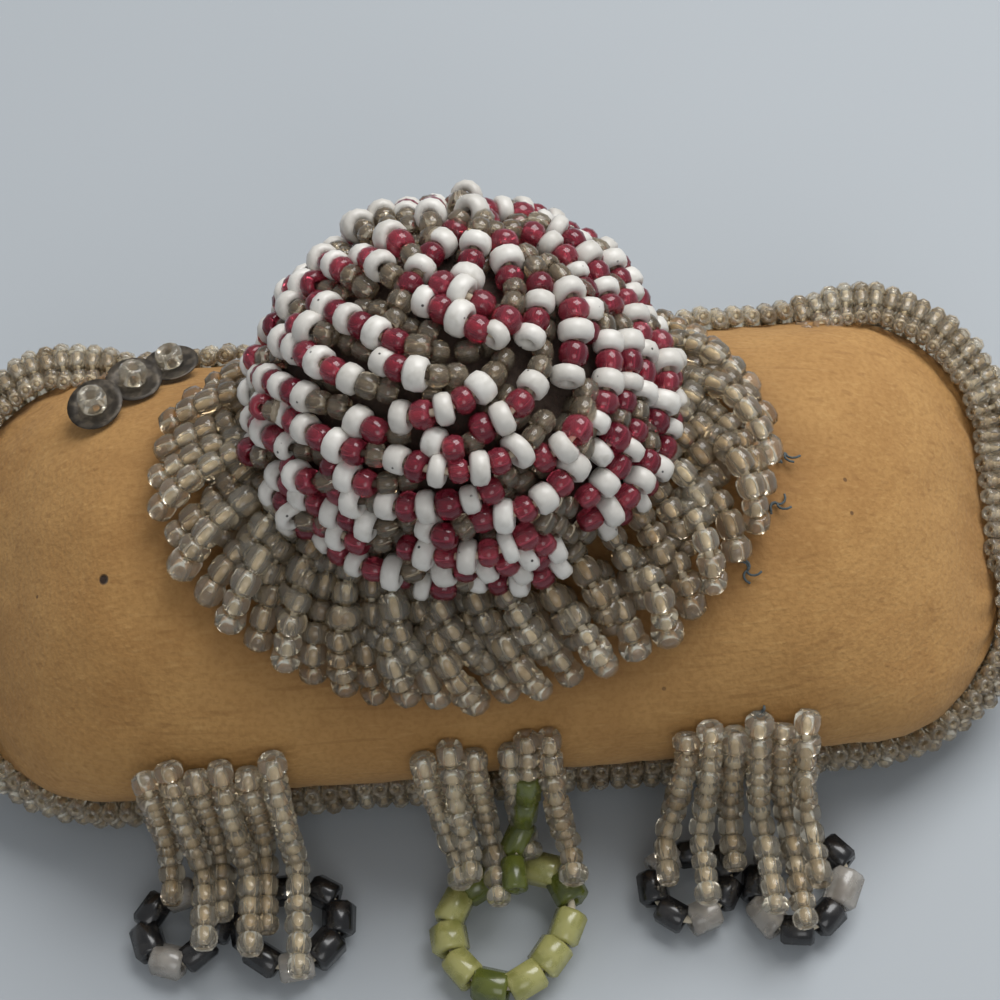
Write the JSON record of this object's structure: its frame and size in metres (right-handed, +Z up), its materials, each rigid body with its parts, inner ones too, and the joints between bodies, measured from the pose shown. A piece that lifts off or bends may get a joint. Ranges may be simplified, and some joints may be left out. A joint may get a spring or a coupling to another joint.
{
  "type": "beaded souvenir purse",
  "caption": "Small tan hide purse lying on its back, with a raised whorled bead flower in a ruff of clear beads, bead edging over lips and seam, a sequin sprig and bead tassels.",
  "frame": {"origin": "on the floor under the middle of the purse, on the flat of its back panel", "axes": "+X along the purse to its right end, +Y away from the viewer towards the mouth, +Z up"},
  "size_m": [0.0994, 0.0593, 0.0499],
  "materials": {
    "hide": "smoked hide, napped",
    "clear_bead": "old clear glass",
    "red_bead": "cranberry glass",
    "white_bead": "opaque chalk white glass",
    "black_bead": "opaque black glass",
    "green_bead": "green and pale yellow glass",
    "stuffing": "dark backing cloth over stuffing",
    "sequin": "oxidised"
  },
  "bodies": {
    "purse": {"front_panel": "hide", "back_panel": "hide", "front_lip_edging": "clear_bead", "back_lip_edging": "clear_bead", "seam_edging": "clear_bead", "flower_ruff": "clear_bead", "flower_pad": "stuffing", "rose_strand_1_01": "red_bead", "rose_strand_1_02": "white_bead", "rose_strand_1_03": "red_bead", "rose_strand_1_04": "white_bead", "rose_strand_1_05": "red_bead", "rose_strand_1_06": "white_bead", "rose_strand_1_07": "red_bead", "rose_strand_1_08": "white_bead", "rose_strand_1_09": "red_bead", "rose_strand_1_10": "white_bead", "rose_strand_1_11": "red_bead", "rose_strand_1_12": "white_bead", "rose_strand_1_13": "red_bead", "rose_strand_1_14": "white_bead", "rose_strand_1_15": "red_bead", "rose_strand_1_16": "white_bead", "rose_strand_2_01": "white_bead", "rose_strand_2_02": "red_bead", "rose_strand_2_03": "white_bead", "rose_strand_2_04": "red_bead", "rose_strand_2_05": "white_bead", "rose_strand_2_06": "red_bead", "rose_strand_2_07": "white_bead", "rose_strand_2_08": "red_bead", "rose_strand_2_09": "white_bead", "rose_strand_2_10": "red_bead", "rose_strand_2_11": "white_bead", "rose_strand_2_12": "red_bead", "rose_strand_2_13": "white_bead", "rose_strand_3_01": "red_bead", "rose_strand_3_02": "white_bead", "rose_strand_3_03": "red_bead", "rose_strand_3_04": "white_bead", "rose_strand_3_05": "red_bead", "rose_strand_3_06": "white_bead", "rose_strand_3_07": "red_bead", "rose_strand_4_01": "white_bead", "rose_strand_4_02": "red_bead", "rose_strand_4_03": "white_bead", "sequin_1": "sequin", "sequin_bead_1": "clear_bead", "sequin_2": "sequin", "sequin_bead_2": "clear_bead", "sequin_3": "sequin", "sequin_bead_3": "clear_bead"},
    "left_tassel": {"left_tassel_strings": "clear_bead", "left_tassel_loop": "black_bead"},
    "middle_tassel": {"middle_tassel_strings": "clear_bead", "middle_tassel_loop": "green_bead"},
    "right_tassel": {"right_tassel_strings": "clear_bead", "right_tassel_loop": "black_bead"}
  },
  "joints": [
    {"name": "left_tassel_swing", "type": "hinge", "parent": "purse", "child": "left_tassel", "pos_m": [-0.0224, -0.02548, 0.01728], "axis": [-1, 0, 0], "range_deg": [0, 75]},
    {"name": "middle_tassel_swing", "type": "hinge", "parent": "purse", "child": "middle_tassel", "pos_m": [0, -0.02548, 0.01728], "axis": [-1, 0, 0], "range_deg": [0, 75]},
    {"name": "right_tassel_swing", "type": "hinge", "parent": "purse", "child": "right_tassel", "pos_m": [0.0205, -0.02548, 0.01728], "axis": [-1, 0, 0], "range_deg": [0, 75]}
  ]
}
